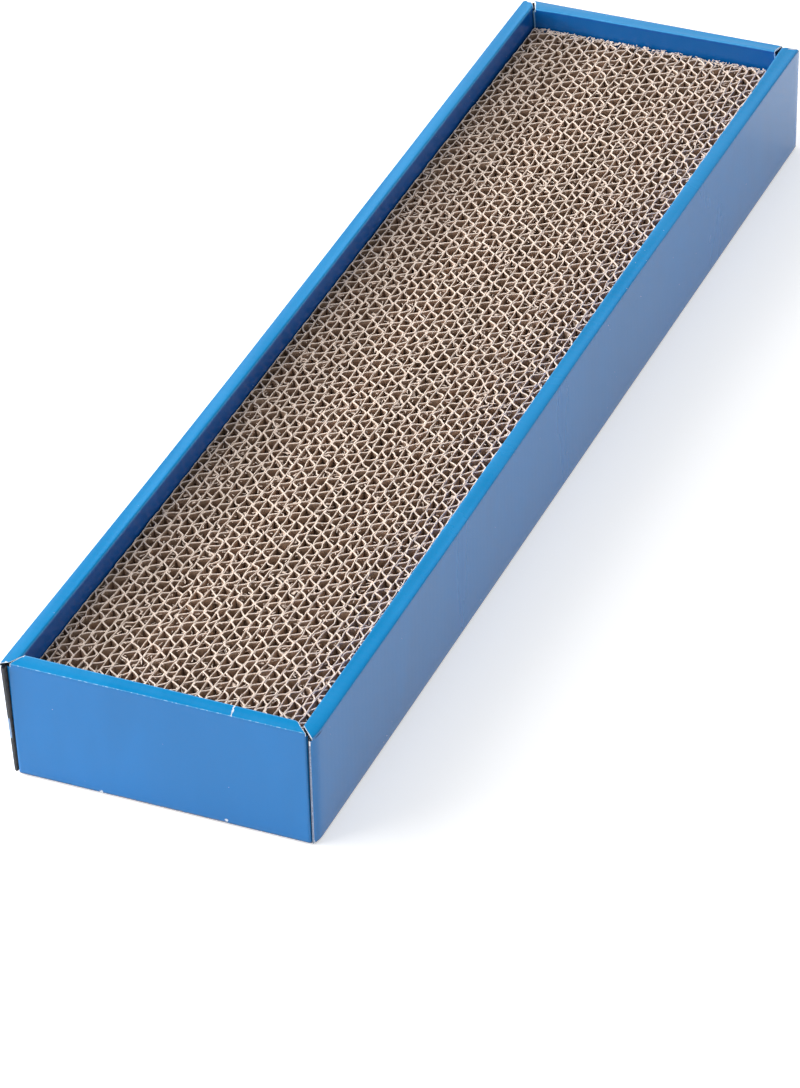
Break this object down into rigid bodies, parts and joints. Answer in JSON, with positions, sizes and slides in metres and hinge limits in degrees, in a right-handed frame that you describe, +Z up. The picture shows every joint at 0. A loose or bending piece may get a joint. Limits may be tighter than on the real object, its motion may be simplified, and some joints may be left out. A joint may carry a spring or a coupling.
{
  "type": "cardboard cat scratcher",
  "caption": "Long low tray of folded blue board with hollow walls and a flat rim, holding a lift-out pad of corrugated board strips on edge for a cat to scratch.",
  "frame": {"origin": "centre of the tray's underside, on the surface that it stands on", "axes": "+X across the tray to its right, +Y along it to its back end, +Z up"},
  "size_m": [0.12, 0.49, 0.0485],
  "materials": {
    "printed_board": "satin printed blue outer face",
    "printed_board_inside": "satin printed blue inner face",
    "corrugated_board": "matte brown kraft paper"
  },
  "bodies": {
    "tray": {"bottom_panel": "printed_board_inside", "left_outer_wall": "printed_board", "right_outer_wall": "printed_board", "front_outer_wall": "printed_board", "back_outer_wall": "printed_board", "left_rim": "printed_board", "right_rim": "printed_board", "front_rim": "printed_board", "back_rim": "printed_board", "left_inner_wall": "printed_board_inside", "right_inner_wall": "printed_board_inside", "front_inner_wall": "printed_board_inside", "back_inner_wall": "printed_board_inside", "front_left_flap": "printed_board", "front_right_flap": "printed_board", "back_left_flap": "printed_board", "back_right_flap": "printed_board"},
    "pad": {"strip_01": "corrugated_board", "strip_02": "corrugated_board", "strip_03": "corrugated_board", "strip_04": "corrugated_board", "strip_05": "corrugated_board", "strip_06": "corrugated_board", "strip_07": "corrugated_board", "strip_08": "corrugated_board", "strip_09": "corrugated_board", "strip_10": "corrugated_board", "strip_11": "corrugated_board", "strip_12": "corrugated_board", "strip_13": "corrugated_board", "strip_14": "corrugated_board"}
  },
  "joints": [
    {"name": "pad_lift", "type": "slide", "parent": "tray", "child": "pad", "axis": [0, 0, 1], "range_m": [0, 0.06]}
  ]
}
